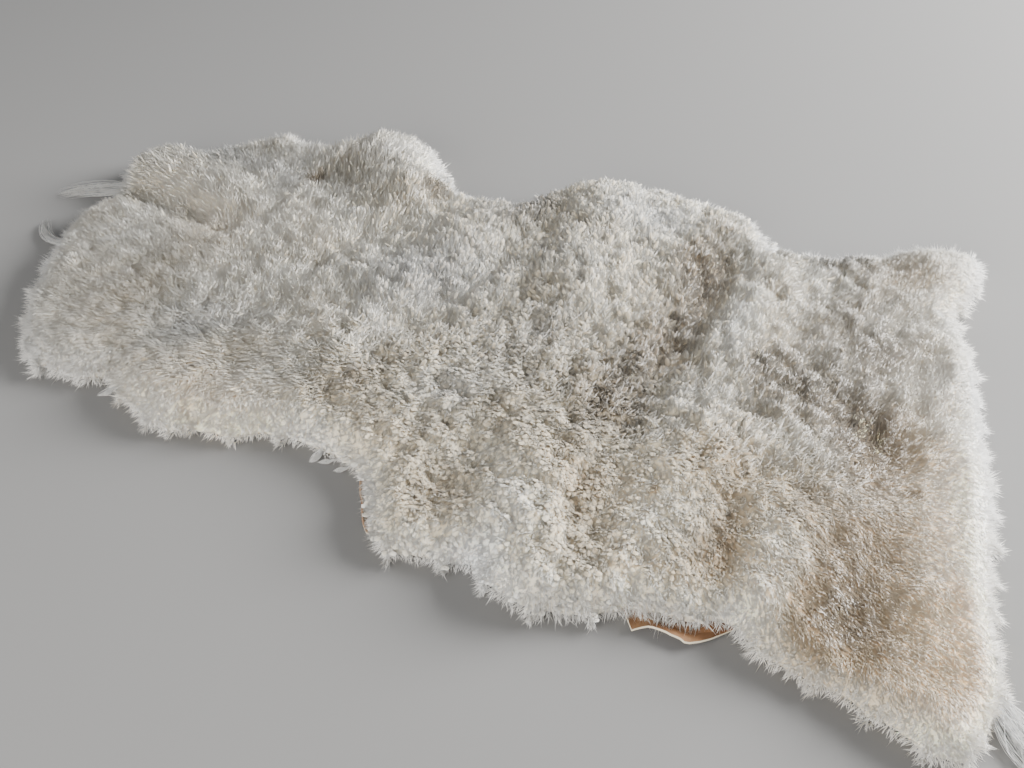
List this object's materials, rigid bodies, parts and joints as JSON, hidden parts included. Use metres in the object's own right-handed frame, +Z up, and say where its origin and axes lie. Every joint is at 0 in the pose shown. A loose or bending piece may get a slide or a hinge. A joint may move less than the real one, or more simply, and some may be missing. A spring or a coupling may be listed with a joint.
{
  "type": "sheepskin rug",
  "caption": "Irregular whole-skin rug lying wool side up: a thin tanned hide with lifted folds under a lumpy slab of shaggy wool, with loose locks round its rim.",
  "frame": {"origin": "on the floor, under the middle of the rug's box", "axes": "+X from the neck end to the rump end, +Y across the skin to the side that lies far in the view, +Z up"},
  "size_m": [1.2612, 0.7092, 0.0575],
  "materials": {
    "leather": "matt tanned skin, tan on its face and pale at its cut edge",
    "wool": "matt cream wool with whiter tips and a few tan patches"
  },
  "bodies": {
    "root": {"hide": "leather", "fleece": "wool"}
  },
  "joints": []
}
